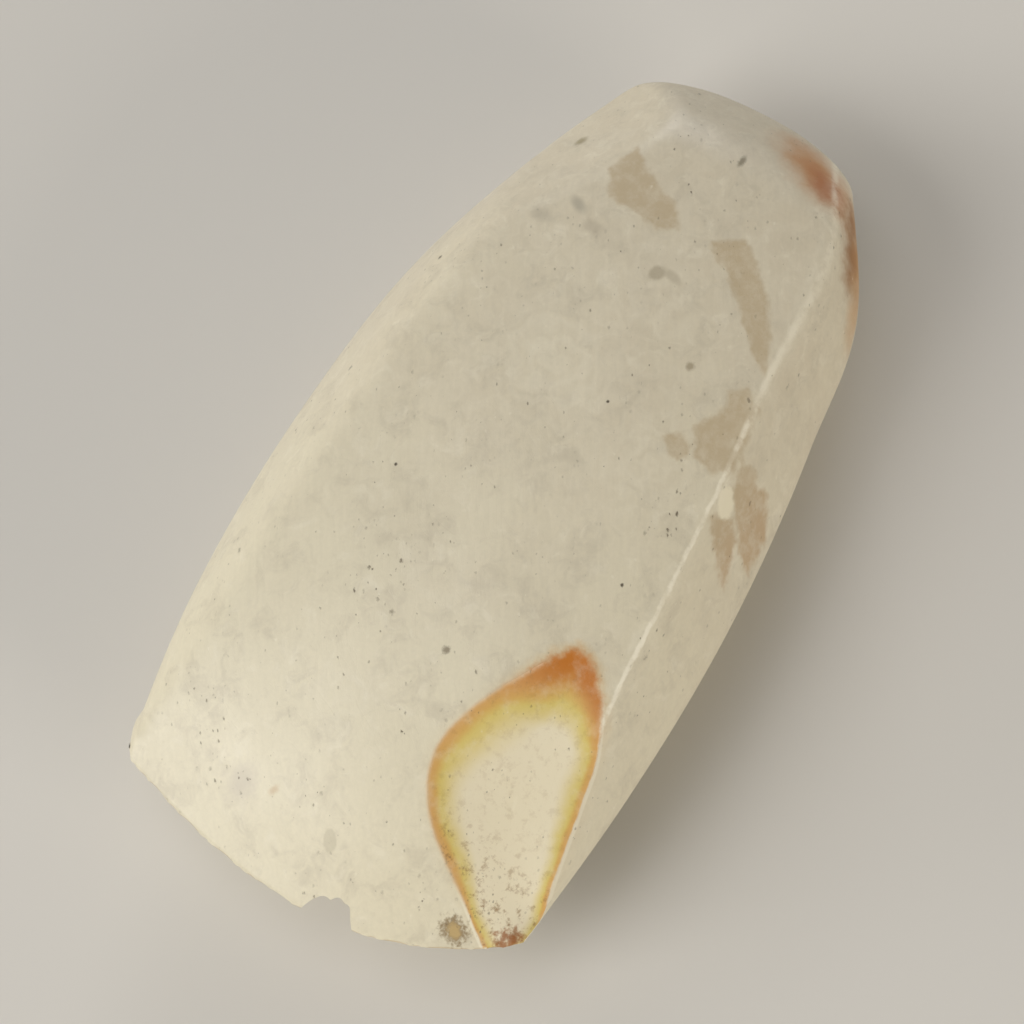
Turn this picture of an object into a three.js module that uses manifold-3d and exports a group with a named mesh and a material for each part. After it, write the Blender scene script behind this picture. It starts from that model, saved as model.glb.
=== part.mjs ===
// A ground and polished stone axe head, lying on one broad face.
// Lengths are in millimetres. The stone is worked out about its long axis, X, with the
// cutting edge at +X, Y across the blade and Z = 0 as the plane through the edge. At the
// end it is moved so that the origin lies under the middle of its box, on the ground.
import * as THREE from "three";
import { mergeVertices } from "three/addons/utils/BufferGeometryUtils.js";
import Module from "manifold-3d";

// ---- Driving dimensions, mm and degrees ----

const LENGTH = 126.8;

// Half widths to the right (+Y) and left (-Y), at shares of the length from butt to edge.
const WIDTH_STATIONS = [0, 0.12, 0.3, 0.55, 0.8, 1];
const RIGHT_HALF_WIDTHS = [17.5, 25.6, 29.3, 31.9, 31.3, 29];
const LEFT_HALF_WIDTHS = [17.5, 23.2, 29.9, 33.3, 32.8, 29.5];

// Half thicknesses on the long axis, at distances back from the cutting edge.
const DEPTH_STATIONS = [0, 12, 30, 56, 90, 126];
const UPPER_HALF_DEPTHS = [0, 7.5, 14, 16.5, 15.5, 10];
const LOWER_HALF_DEPTHS = [0, 7, 13, 16, 15.8, 10];

const FACE_CROWN = 0.33; // share of the half thickness that a face loses at the sides
const SIDE_LEAN = 33; // of a side facet from upright
const SIDE_ROUND = 1.5; // how full the sides are where their two facets meet
const RIGHT_ARRIS = 0.8; // softness of the crisp arris between face and right side
const LEFT_ARRIS = 5; // softness of the worn arris on the left

const EDGE_SAG_RIGHT = 9.5; // how far the curved cutting edge falls back at its corners
const EDGE_SAG_LEFT = 7;
const EDGE_SKEW = 1.2; // how far the edge's fullest part is worn over to the right
const EDGE_BLUNT_LENGTH = 0.6; // the worn roundness of the cutting edge itself
const EDGE_BLUNT_HEIGHT = 0.25;

const BUTT_BOW = 6.5; // how far the butt's end bulges past its corners
const BUTT_SLOPE = 0.8; // rise of the butt's end for each millimetre of length
const BUTT_ROUND = 5;
const BUTT_SOFTNESS = 3;
const BUTT_FLAT = 0.8; // ground off the very end of the butt

const REST_FLAT = 0.3; // ground off the belly, so that the stone lies still

const WAVE_HEIGHT = 0.12; // of the long low undulations that hand grinding leaves
const WAVE_LENGTH = 34;
const WAVE_WIDTH = 21;

// The grid that both faces are laid out on, closest at the ends and sides.
const ROWS = 52;
const COLUMNS = 34;
const ROW_CROWDING = 0.45;
const COLUMN_CROWDING = 0.5;
const SETTLING_PASSES = 8;

// Flake scars, as shallow hollows in one face (1 upper, -1 lower). Each has an outline on
// the plan, a point inside from which the whole outline can be seen, and the depth of its
// floor under the flat that would span its rim.
const SCARS = [
  // The long spall off the right corner of the cutting edge.
  {
    face: 1,
    depth: 0.5,
    curved: true,
    centre: [40, 20],
    outline: [
      [19.5, 18.5], [26.5, 13.6], [33, 10.2], [38.5, 8.7], [43.5, 9.8], [48, 13.2],
      [53, 20], [57.5, 27], [53, 30], [46, 29], [36, 27.8], [29, 26.6], [22.5, 23.4],
    ],
  },
  // The patches that grinding never reached: near the butt, along and over the right arris.
  {
    face: 1,
    depth: 0.35,
    centre: [-40.5, -5],
    outline: [[-42.6, -11], [-46.6, -8.6], [-42, -3], [-38, 1.2], [-35.6, -3], [-36.8, -8.4]],
  },
  {
    face: 1,
    depth: 0.35,
    centre: [-34.6, 13],
    outline: [[-38.6, 6], [-40.6, 10.6], [-36.4, 15.8], [-31.4, 19], [-26, 22], [-31.6, 13.2], [-35.2, 7.6]],
  },
  {
    face: 1,
    depth: 0.35,
    centre: [-14, 20],
    outline: [[-10, 14.6], [-14.4, 16], [-22.6, 20], [-22.4, 22.4], [-16, 24], [-9.8, 23.4], [-9, 17.2]],
  },
  {
    face: 1,
    depth: 0.8,
    centre: [-7, 27.4],
    outline: [[-13.4, 25], [-12.6, 28.4], [-8, 30], [-2, 30.2], [-1, 27], [-4.6, 24.8], [-9.2, 25.2]],
  },
  // One more under the left side.
  {
    face: -1,
    depth: 0.5,
    centre: [32, -22],
    outline: [[24, -20], [34, -17], [40, -21], [37, -27], [28, -27]],
  },
];
const SCAR_POINTS = 32;
const SCAR_CORNER_STEP = 2.2; // along the straight sides of a scar's outline
const SCAR_RINGS = [0.4, 0.75, 1];
const SCAR_FLARE = 1.04; // how far the walls above a scar's rim lean out
const SCAR_LIP = 0.7; // and by what height they have done so
const CLEAR = 40; // a height well clear of the stone

// The flake struck off the butt's left corner: a dish set into the stone with its deepest
// point here, facing along this direction.
const BUTT_FLAKE = { at: [-46.6, -17, 6.8], facing: [-0.36, -0.57, 0.74], bend: 220, reach: 32 };
const DISH_RINGS = 4;
const DISH_SIDES = 36;

// Bites broken right through the stone's outline, as ellipsoids.
const BITES = [
  { at: [64.6, 5.9, -4], radii: [10.1, 3.5, 7] }, // the notch in the cutting edge
  { at: [65, 4.4, -4], radii: [8.2, 3.8, 7] }, // its shallower shoulder
  { at: [65.6, -4.5, -5], radii: [3.7, 10, 7.5] }, // the long thin chip beside it
  { at: [65.4, 39.4, -7], radii: [18, 18, 16] }, // the lost right corner of the edge
  { at: [-44.3, -25.4, 2], radii: [3.6, 3, 9] }, // the step behind the butt's left corner
];
const BITE_SIDES = 20;
const BITE_RINGS = 12;

const PATINA = { color: 0xd6ccb0, roughness: 0.42, metalness: 0 };

// ---- Curves and blends ----

/** A smooth curve through values given at uneven stations. */
function curveThrough(stations, values) {
  const slopes = values.map((_, i) => {
    const before = Math.max(i - 1, 0);
    const after = Math.min(i + 1, values.length - 1);
    if (after - before < 2) {
      return (values[after] - values[before]) / (stations[after] - stations[before]);
    }
    const left = (values[i] - values[before]) / (stations[i] - stations[before]);
    const right = (values[after] - values[i]) / (stations[after] - stations[i]);
    const leftSpan = stations[i] - stations[before];
    const rightSpan = stations[after] - stations[i];
    return (left * rightSpan + right * leftSpan) / (leftSpan + rightSpan);
  });
  return (place) => {
    const x = THREE.MathUtils.clamp(place, stations[0], stations.at(-1));
    let i = 0;
    while (i < stations.length - 2 && x > stations[i + 1]) i += 1;
    const span = stations[i + 1] - stations[i];
    const t = (x - stations[i]) / span;
    return (
      (2 * t ** 3 - 3 * t ** 2 + 1) * values[i] +
      (t ** 3 - 2 * t ** 2 + t) * span * slopes[i] +
      (3 * t ** 2 - 2 * t ** 3) * values[i + 1] +
      (t ** 3 - t ** 2) * span * slopes[i + 1]
    );
  };
}

/** The lesser of two heights, with their meeting line rounded over by softness. */
function softMin(a, b, softness) {
  const overlap = Math.max(softness - Math.abs(a - b), 0) / softness;
  return Math.min(a, b) - (overlap * overlap * softness) / 4;
}

/** Rises steeply from nothing, then runs on straight: the round foot of a facet. */
function roundedRise(distance, round) {
  return Math.sqrt(distance * distance + 2 * round * distance);
}

// ---- The body of the stone ----

const rightHalfWidth = curveThrough(WIDTH_STATIONS, RIGHT_HALF_WIDTHS);
const leftHalfWidth = curveThrough(WIDTH_STATIONS, LEFT_HALF_WIDTHS);
const sideRise = 1 / Math.tan(THREE.MathUtils.degToRad(SIDE_LEAN));

/** The place on the plan of a grid point: u from butt to edge, v from left to right. */
function planPoint(u, v) {
  const halfWidth = v > 0 ? rightHalfWidth(u) : leftHalfWidth(u);
  const buttEnd = -LENGTH / 2 + BUTT_BOW * (1 - Math.sqrt(1 - v * v));
  const edgeSag = (v > 0 ? EDGE_SAG_RIGHT : EDGE_SAG_LEFT) * v * v;
  const edgeEnd = LENGTH / 2 - edgeSag + EDGE_SKEW * v * (1 - v * v);
  return { x: buttEnd + (edgeEnd - buttEnd) * u, y: v * halfWidth, halfWidth, buttEnd, edgeEnd };
}

/** The height of one face above the middle plane at a grid point. */
function faceHeight(depthCurve, u, v) {
  const { x, y, halfWidth, buttEnd, edgeEnd } = planPoint(u, v);
  const fromEdge = Math.max(edgeEnd - x, 0);
  const [turnX, turnY] = [(2 * Math.PI * x) / WAVE_LENGTH, (2 * Math.PI * y) / WAVE_WIDTH];
  const wave = WAVE_HEIGHT * Math.sin(turnX) * Math.cos(turnY);
  const blunt = EDGE_BLUNT_HEIGHT * Math.sqrt(1 - (1 - Math.min(fromEdge / EDGE_BLUNT_LENGTH, 1)) ** 2);
  const edgeFade = Math.min(fromEdge / WAVE_WIDTH, 1);
  const face = depthCurve(fromEdge) * (1 - FACE_CROWN * v * v) + wave * edgeFade + blunt;
  const side = sideRise * roundedRise((1 - Math.abs(v)) * halfWidth, SIDE_ROUND);
  const butt = BUTT_SLOPE * roundedRise(Math.max(x - buttEnd, 0), BUTT_ROUND);
  const whole = softMin(softMin(face, side, v > 0 ? RIGHT_ARRIS : LEFT_ARRIS), butt, BUTT_SOFTNESS);
  return Math.max(whole, 0);
}

const upperDepth = curveThrough(DEPTH_STATIONS, UPPER_HALF_DEPTHS);
const lowerDepth = curveThrough(DEPTH_STATIONS, LOWER_HALF_DEPTHS);

/** The height of a face above a point of the plan, found by closing in on its grid place. */
function heightOver(face, x, y) {
  let [u, v] = [0.5, 0];
  for (let pass = 0; pass < SETTLING_PASSES; pass += 1) {
    const { halfWidth, buttEnd, edgeEnd } = planPoint(u, v);
    v = THREE.MathUtils.clamp(y / halfWidth, -1, 1);
    u = THREE.MathUtils.clamp((x - buttEnd) / (edgeEnd - buttEnd), 0, 1);
  }
  return face * faceHeight(face > 0 ? upperDepth : lowerDepth, u, v);
}

/** Even steps from 0 to 1, crowded towards both ends. */
function crowdedShare(index, count, crowding) {
  const s = index / count;
  return s - (crowding / (2 * Math.PI)) * Math.sin(2 * Math.PI * s);
}

/** The closed skin: an upper and a lower sheet that share their rim. */
function stoneGeometry() {
  const positions = [];
  const indices = [];
  const sheets = [
    (u, v) => faceHeight(upperDepth, u, v),
    (u, v) => -faceHeight(lowerDepth, u, v),
  ];
  const index = (sheet, i, j) => sheet * (ROWS + 1) * (COLUMNS + 1) + i * (COLUMNS + 1) + j;
  for (const height of sheets) {
    for (let i = 0; i <= ROWS; i += 1) {
      for (let j = 0; j <= COLUMNS; j += 1) {
        const u = crowdedShare(i, ROWS, ROW_CROWDING);
        const v = 2 * crowdedShare(j, COLUMNS, COLUMN_CROWDING) - 1;
        const rim = i === 0 || i === ROWS || j === 0 || j === COLUMNS;
        const { x, y } = planPoint(u, v);
        positions.push(x, y, rim ? 0 : height(u, v));
      }
    }
  }
  for (let i = 0; i < ROWS; i += 1) {
    for (let j = 0; j < COLUMNS; j += 1) {
      const [a, b, c, d] = [index(0, i, j), index(0, i + 1, j), index(0, i + 1, j + 1), index(0, i, j + 1)];
      indices.push(a, b, c, a, c, d);
      const [e, f, g, h] = [index(1, i, j), index(1, i + 1, j), index(1, i + 1, j + 1), index(1, i, j + 1)];
      indices.push(e, g, f, e, h, g);
    }
  }
  const geometry = new THREE.BufferGeometry();
  geometry.setAttribute("position", new THREE.Float32BufferAttribute(positions, 3));
  geometry.setIndex(indices);
  return mergeVertices(geometry);
}

// ---- Cutting ----

const wasm = await Module();
wasm.setup();

/** A closed geometry as a solid that can be cut. */
function solidFrom(geometry) {
  const bare = geometry.clone();
  bare.deleteAttribute("normal");
  bare.deleteAttribute("uv");
  const merged = mergeVertices(bare);
  return new wasm.Manifold(
    new wasm.Mesh({
      numProp: 3,
      vertProperties: merged.getAttribute("position").array,
      triVerts: new Uint32Array(merged.index.array),
    }),
  );
}

/** A solid's surface as a geometry with flat normals. */
function geometryFrom(solid) {
  const mesh = solid.getMesh();
  const geometry = new THREE.BufferGeometry();
  geometry.setAttribute("position", new THREE.BufferAttribute(mesh.vertProperties, 3));
  geometry.setIndex(new THREE.BufferAttribute(mesh.triVerts, 1));
  return geometry;
}

/** The ellipsoid that one bite takes out. */
function biteGeometry({ at, radii }) {
  return new THREE.SphereGeometry(1, BITE_SIDES, BITE_RINGS)
    .rotateX(Math.PI / 2)
    .scale(...radii)
    .translate(...at);
}

/** A scar's rim on the plan: a smooth loop, or straight sides between its corners. */
function rimPoints({ outline, curved }) {
  const corners = outline.map(([x, y]) => new THREE.Vector3(x, y, 0));
  if (curved) {
    return new THREE.CatmullRomCurve3(corners, true).getPoints(SCAR_POINTS).slice(0, -1);
  }
  return corners.flatMap((corner, i) => {
    const next = corners[(i + 1) % corners.length];
    const steps = Math.ceil(corner.distanceTo(next) / SCAR_CORNER_STEP);
    return Array.from({ length: steps }, (_, k) => corner.clone().lerp(next, k / steps));
  });
}

/** The plane that best fits a rim's heights: its height over a point, and its slopes. */
function spanningPlane(rim, heights, [cx, cy]) {
  const sums = new THREE.Matrix3().set(0, 0, 0, 0, 0, 0, 0, 0, 0);
  const totals = new THREE.Vector3();
  rim.forEach(({ x, y }, i) => {
    const terms = [1, x - cx, y - cy];
    sums.elements.forEach((_, k) => {
      sums.elements[k] += terms[Math.floor(k / 3)] * terms[k % 3];
    });
    totals.add(new THREE.Vector3(...terms).multiplyScalar(heights[i]));
  });
  return totals.applyMatrix3(sums.invert()).toArray();
}

/** The shape that one scar takes out: its dished floor, and walls clear of the stone. */
function scarGeometry(scar) {
  const { face, depth, centre } = scar;
  const [cx, cy] = centre;
  const rim = rimPoints(scar);
  const heights = rim.map(({ x, y }) => heightOver(face, x, y));
  const [level, fallX, fallY] = spanningPlane(rim, heights, centre);
  const positions = [cx, cy, level - face * depth];
  for (const share of SCAR_RINGS) {
    rim.forEach(({ x, y }, i) => {
      const [dx, dy] = [x - cx, y - cy];
      const fall = fallX * dx + fallY * dy;
      const bump = (heights[i] - level - fall) * share ** 4;
      const dish = face * depth * (1 - share ** 2);
      positions.push(cx + share * dx, cy + share * dy, level + share * fall + bump - dish);
    });
  }
  for (const above of [(i) => heights[i] + face * SCAR_LIP, () => face * CLEAR]) {
    rim.forEach(({ x, y }, i) => {
      positions.push(cx + SCAR_FLARE * (x - cx), cy + SCAR_FLARE * (y - cy), above(i));
    });
  }
  positions.push(cx, cy, face * CLEAR);

  const count = rim.length;
  const rings = SCAR_RINGS.length + 2;
  const vertex = (ring, i) => 1 + ring * count + (i % count);
  const indices = [];
  for (let i = 0; i < count; i += 1) {
    indices.push(0, vertex(0, i + 1), vertex(0, i));
    for (let ring = 0; ring < rings - 1; ring += 1) {
      const [a, b] = [vertex(ring, i), vertex(ring, i + 1)];
      const [c, d] = [vertex(ring + 1, i), vertex(ring + 1, i + 1)];
      indices.push(a, b, d, a, d, c);
    }
    indices.push(vertex(rings - 1, i), vertex(rings - 1, i + 1), 1 + rings * count);
  }
  return closedOutwards(positions, indices);
}

/** A geometry with its faces turned outwards, whichever way round its outline ran. */
function closedOutwards(positions, indices) {
  const corner = (i) => new THREE.Vector3(...positions.slice(3 * i, 3 * i + 3));
  let volume = 0;
  for (let i = 0; i < indices.length; i += 3) {
    const [a, b, c] = [corner(indices[i]), corner(indices[i + 1]), corner(indices[i + 2])];
    volume += a.dot(b.cross(c));
  }
  const geometry = new THREE.BufferGeometry();
  geometry.setAttribute("position", new THREE.Float32BufferAttribute(positions, 3));
  geometry.setIndex(volume < 0 ? indices.toReversed() : indices);
  return geometry;
}

/** The dished block that strikes the flake off the butt's corner. */
function dishGeometry({ at, facing, bend, reach }) {
  const profile = [];
  for (let ring = 0; ring <= DISH_RINGS; ring += 1) {
    const across = (reach * ring) / DISH_RINGS;
    profile.push(new THREE.Vector2(across, bend - Math.sqrt(bend * bend - across * across)));
  }
  profile.push(new THREE.Vector2(reach, CLEAR), new THREE.Vector2(0, CLEAR));
  const up = new THREE.Vector3(0, 1, 0);
  const direction = new THREE.Vector3(...facing).normalize();
  return new THREE.LatheGeometry(profile, DISH_SIDES)
    .applyQuaternion(new THREE.Quaternion().setFromUnitVectors(up, direction))
    .translate(...at);
}

/** A block that grinds a flat: everything below z = level, or behind x = level. */
function grindingBlock(axis, level) {
  const size = 2 * LENGTH;
  const offset = level - size / 2;
  return new THREE.BoxGeometry(size, size, size).translate(
    axis === "x" ? offset : 0,
    0,
    axis === "z" ? offset : 0,
  );
}

/** The whole stone: the skin, less its scars and bites, with its two flats ground on. */
function axeHeadMesh() {
  let stone = solidFrom(stoneGeometry());
  stone = stone.subtract(solidFrom(dishGeometry(BUTT_FLAKE)));
  for (const scar of SCARS) stone = stone.subtract(solidFrom(scarGeometry(scar)));
  for (const bite of BITES) stone = stone.subtract(solidFrom(biteGeometry(bite)));
  const belly = -Math.max(...LOWER_HALF_DEPTHS) + REST_FLAT;
  stone = stone.subtract(solidFrom(grindingBlock("z", belly)));
  stone = stone.subtract(solidFrom(grindingBlock("x", -LENGTH / 2 + BUTT_FLAT)));

  const geometry = geometryFrom(stone);
  geometry.computeBoundingBox();
  const { min, max } = geometry.boundingBox;
  geometry.translate(-(min.x + max.x) / 2, -(min.y + max.y) / 2, -min.z);
  geometry.computeVertexNormals();
  const mesh = new THREE.Mesh(geometry, new THREE.MeshStandardMaterial(PATINA));
  mesh.name = "axe_head";
  return mesh;
}

const axe = new THREE.Group();
axe.add(axeHeadMesh());

export default axe;
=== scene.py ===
"""The looks of a ground and polished stone axe head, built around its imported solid.

The stone is worked out in millimetres about its long axis: X runs from the butt to the
cutting edge, Y across the blade, and Z = 0 is the plane of the edge. Once cut it is put
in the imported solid's place, in metres.
"""

from __future__ import annotations

import logging
import math
from collections.abc import Callable, Sequence
from dataclasses import dataclass, field
from enum import Enum

import bpy
import numpy as np
from mathutils import Matrix, Vector


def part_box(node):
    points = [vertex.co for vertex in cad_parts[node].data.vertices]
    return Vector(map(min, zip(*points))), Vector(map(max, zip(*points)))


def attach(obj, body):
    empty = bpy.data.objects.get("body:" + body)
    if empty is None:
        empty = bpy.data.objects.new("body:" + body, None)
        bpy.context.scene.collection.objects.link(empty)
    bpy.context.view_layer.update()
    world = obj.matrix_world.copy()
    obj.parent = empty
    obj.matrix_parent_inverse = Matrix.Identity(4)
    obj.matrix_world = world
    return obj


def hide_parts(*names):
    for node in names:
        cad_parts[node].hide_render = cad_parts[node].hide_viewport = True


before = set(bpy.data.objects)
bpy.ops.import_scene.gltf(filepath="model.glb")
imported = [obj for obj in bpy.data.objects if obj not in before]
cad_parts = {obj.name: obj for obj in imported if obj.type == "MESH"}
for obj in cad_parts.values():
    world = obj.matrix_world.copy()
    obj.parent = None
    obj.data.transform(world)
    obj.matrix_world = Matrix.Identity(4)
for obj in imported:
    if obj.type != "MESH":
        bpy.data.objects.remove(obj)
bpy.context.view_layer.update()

LOG = logging.getLogger("axe_head")
MM = 0.001  # metres
NODE = "axe_head"
SLOT = "patinated_flint"
SIDE_SHIFT = 0.768  # how far the middle of the stone's box lies to the left of its long axis, mm

Array = np.ndarray
Point = tuple[float, float]
Triple = tuple[float, float, float]
Colour = tuple[float, float, float, float]
Socket = bpy.types.NodeSocket


class Face(Enum):
    """The two broad faces of the stone, as signs of Z."""

    UPPER = 1
    LOWER = -1


class Cut(Enum):
    """What a patch of the surface is, as the material index it carries while cut."""

    GROUND = 0
    SCAR = 1
    CHIP = 2


# ---- Curves and outlines ----


def curve_through(stations: Sequence[float], values: Sequence[float]) -> Callable[[Array], Array]:
    """Makes a smooth curve through values at uneven stations.

    Args:
        stations: Rising places along the curve.
        values: The value at each station.

    Returns:
        A function from places to values, which holds its end values past the ends.
    """
    at, value = np.array(stations, float), np.array(values, float)
    spans = np.diff(at)
    steps = np.diff(value) / spans
    inner = (steps[:-1] * spans[1:] + steps[1:] * spans[:-1]) / (spans[:-1] + spans[1:])
    slopes = np.concatenate([steps[:1], inner, steps[-1:]])

    def curve(place: Array) -> Array:
        """The curve's value at each place."""
        x = np.clip(place, at[0], at[-1])
        i = np.clip(np.searchsorted(at, x, side="left") - 1, 0, len(at) - 2)
        t = (x - at[i]) / spans[i]
        return (
            (2 * t**3 - 3 * t**2 + 1) * value[i]
            + (t**3 - 2 * t**2 + t) * spans[i] * slopes[i]
            + (3 * t**2 - 2 * t**3) * value[i + 1]
            + (t**3 - t**2) * spans[i] * slopes[i + 1]
        )

    return curve


def soft_min(a: Array, b: Array, softness: Array | float) -> Array:
    """The lesser of two heights, with their meeting line rounded over by softness."""
    overlap = np.maximum(softness - np.abs(a - b), 0) / softness
    return np.minimum(a, b) - overlap**2 * softness / 4


def rounded_rise(distance: Array, round_off: float) -> Array:
    """Rises steeply from nothing, then runs on straight, like the round foot of a facet."""
    return np.sqrt(distance**2 + 2 * round_off * distance)


def closed_curve(corners: Array, steps: int) -> Array:
    """Runs a smooth loop through corners.

    Args:
        corners: One row for each corner of the loop.
        steps: How many points it gets between two corners.

    Returns:
        The points of the loop, in order.
    """
    t = np.linspace(0, 1, steps, endpoint=False)[:, None]
    before, after, beyond = (np.roll(corners, k, axis=0) for k in (1, -1, -2))
    pieces = [
        0.5 * (2 * b + (c - a) * t + (2 * a - 5 * b + 4 * c - d) * t**2 + (3 * b - a - 3 * c + d) * t**3)
        for a, b, c, d in zip(before, corners, after, beyond)
    ]
    return np.concatenate(pieces)


def straight_loop(corners: Array, step: float) -> Array:
    """The points of a loop of straight sides, about a step apart."""
    pieces = []
    for start, end in zip(corners, np.roll(corners, -1, axis=0)):
        count = max(1, math.ceil(float(np.linalg.norm(end - start)) / step))
        t = np.linspace(0, 1, count, endpoint=False)[:, None]
        pieces.append(start + (end - start) * t)
    return np.concatenate(pieces)


def depth_inside(points: Array, loop: Array) -> Array:
    """How far each point lies inside a loop.

    Args:
        points: One (x, y) row for each point.
        loop: The loop's own points, in order.

    Returns:
        The distance to the loop for each point, below zero for those outside it.
    """
    nearest = np.full(len(points), np.inf)
    inside = np.zeros(len(points), bool)
    for (ax, ay), (bx, by) in zip(loop, np.roll(loop, -1, axis=0)):
        side = np.array([bx - ax, by - ay])
        away = points - (ax, ay)
        t = np.clip(away @ side / max(side @ side, 1e-12), 0, 1)
        nearest = np.minimum(nearest, ((away - t[:, None] * side) ** 2).sum(axis=1))
        if ay != by:
            crosses = (ay > points[:, 1]) != (by > points[:, 1])
            inside ^= crosses & (points[:, 0] < ax + (points[:, 1] - ay) * side[0] / side[1])
    return np.where(inside, 1, -1) * np.sqrt(nearest)


# ---- The ground form ----


@dataclass(frozen=True)
class ButtFlake:
    """The broad flake struck off the butt's left corner, since worn smooth. Millimetres."""

    at: Triple = (-46.6, -17, 6.8)
    facing: Triple = (-0.36, -0.57, 0.74)
    bend: float = 220
    softness: float = 1.6
    struck_at: Point = (-64, -24)
    ripple: float = 0.07
    ripple_length: float = 6.5

    def height(self, x: Array, y: Array) -> Array:
        """The height of its dished face over points on the plan."""
        across, along = x - self.at[0], y - self.at[1]
        fall = (self.facing[0] * across + self.facing[1] * along) / self.facing[2]
        dish = (across**2 + along**2) / (2 * self.bend)
        reach = np.hypot(x - self.struck_at[0], y - self.struck_at[1])
        return self.at[2] - fall + dish + self.ripple * np.sin(2 * np.pi * reach / self.ripple_length)


@dataclass(frozen=True)
class StoneForm:
    """The form the stone was ground to, before anything was struck off it. Millimetres."""

    butt_flake: ButtFlake = ButtFlake()
    length: float = 126.8
    width_stations: tuple[float, ...] = (0, 0.12, 0.3, 0.55, 0.8, 1)
    right_half_widths: tuple[float, ...] = (17.5, 25.6, 29.3, 31.9, 31.3, 29)
    left_half_widths: tuple[float, ...] = (17.5, 23.2, 29.9, 33.3, 32.8, 29.5)
    depth_stations: tuple[float, ...] = (0, 12, 30, 56, 90, 126)
    upper_half_depths: tuple[float, ...] = (0, 7.5, 14, 16.5, 15.5, 10)
    lower_half_depths: tuple[float, ...] = (0, 7, 13, 16, 15.8, 10)
    face_crown: float = 0.33
    side_lean: float = 33
    side_round: float = 1.5
    right_arris_stations: tuple[float, ...] = (0, 0.35, 0.6, 1)
    right_arris: tuple[float, ...] = (1.6, 1.1, 0.3, 0.25)
    left_arris: float = 5
    edge_sag_right: float = 9.5
    edge_sag_left: float = 7
    edge_skew: float = 1.2
    corner_share: float = 0.05  # the left corner of the edge is worn round over this share
    corner_round: float = 1.5
    nub_height: float = 0.45  # how far that corner stands out from the side
    nub_place: float = 0.975
    nub_length: float = 0.014
    edge_line_span: Point = (-0.985, 0.9)  # the shares across that chips are set along
    edge_blunt_length: float = 0.6
    edge_blunt_height: float = 0.25
    butt_bow: float = 6.5
    butt_slope: float = 0.8
    butt_round: float = 5
    butt_softness: float = 3
    butt_flat: float = 0.8
    rest_flat: float = 0.3
    wave_height: float = 0.12
    wave_length: float = 34
    wave_width: float = 21
    settling_passes: int = 8
    # The finer unevenness that hand grinding leaves, as many long low waves together.
    ripple_count: int = 18
    ripple_height: float = 0.011  # of a wave of the usual length; a longer one is higher
    ripple_usual: float = 16
    ripple_lengths: Point = (8, 26)
    ripple_stretch: float = 2.4
    ripple_seed: int = 7

    def plan_place(self, u: Array, v: Array) -> tuple[Array, Array, Array, Array, Array]:
        """Finds grid points on the plan.

        Args:
            u: Shares of the length, from butt to edge.
            v: Shares of the half width, from -1 on the left to 1 on the right.

        Returns:
            Each point's x and y, its half width, and where its line meets butt and edge.
        """
        right = curve_through(self.width_stations, self.right_half_widths)(u)
        left = curve_through(self.width_stations, self.left_half_widths)(u)
        left = left + self.nub_height * np.exp(-(((u - self.nub_place) / self.nub_length) ** 2))
        half_width = np.where(v > 0, right, left)
        butt_end = -self.length / 2 + self.butt_bow * (1 - np.sqrt(1 - v * v))
        sag = np.where(v > 0, self.edge_sag_right, self.edge_sag_left) * v * v
        edge_end = self.length / 2 - sag + self.edge_skew * v * (1 - v * v)
        past = np.clip((-v - 1 + self.corner_share) / self.corner_share, 0, 1)
        edge_end = edge_end - self.corner_round * (1 - np.sqrt(1 - past**2))
        return butt_end + (edge_end - butt_end) * u, v * half_width, half_width, butt_end, edge_end

    def facets(self, face: Face, u: Array, v: Array) -> tuple[Array, Array, Array]:
        """The heights of the broad face, the side facet and the butt over grid points."""
        x, y, half_width, butt_end, edge_end = self.plan_place(u, v)
        depths = self.upper_half_depths if face is Face.UPPER else self.lower_half_depths
        from_edge = np.maximum(edge_end - x, 0)
        wave = self.wave_height * np.sin(2 * np.pi * x / self.wave_length)
        wave = wave * np.cos(2 * np.pi * y / self.wave_width) + self.ripples(face, x, y)
        near = 1 - np.minimum(from_edge / self.edge_blunt_length, 1)
        blunt = self.edge_blunt_height * np.sqrt(1 - near**2)
        broad = curve_through(self.depth_stations, depths)(from_edge) * (1 - self.face_crown * v * v)
        broad = broad + wave * np.minimum(from_edge / self.wave_width, 1) + blunt
        rise = 1 / math.tan(math.radians(self.side_lean))
        side = rise * rounded_rise((1 - np.abs(v)) * half_width, self.side_round)
        butt = self.butt_slope * rounded_rise(np.maximum(x - butt_end, 0), self.butt_round)
        return broad, side, butt

    def ripples(self, face: Face, x: Array, y: Array) -> Array:
        """The fine unevenness of the ground surface, longest along the stone."""
        chance = np.random.default_rng(self.ripple_seed * (2 + face.value))
        total = np.zeros_like(x)
        for _ in range(self.ripple_count):
            length = chance.uniform(*self.ripple_lengths)
            turn, start = chance.uniform(0, np.pi), chance.uniform(0, 2 * np.pi)
            along = x * math.cos(turn) / self.ripple_stretch + y * math.sin(turn)
            lift = self.ripple_height * np.sqrt(length / self.ripple_usual)
            total = total + lift * np.cos(2 * np.pi * along / length + start)
        return total

    def face_height(self, face: Face, u: Array, v: Array) -> Array:
        """The height of one face above the middle plane at grid points."""
        broad, side, butt = self.facets(face, u, v)
        right = np.interp(u, self.right_arris_stations, self.right_arris)
        whole = soft_min(broad, side, np.where(v > 0, right, self.left_arris))
        whole = soft_min(whole, butt, self.butt_softness)
        if face is Face.UPPER:
            x, y, *_ = self.plan_place(u, v)
            whole = soft_min(whole, self.butt_flake.height(x, y), self.butt_flake.softness)
        return np.maximum(whole, 0)

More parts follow.
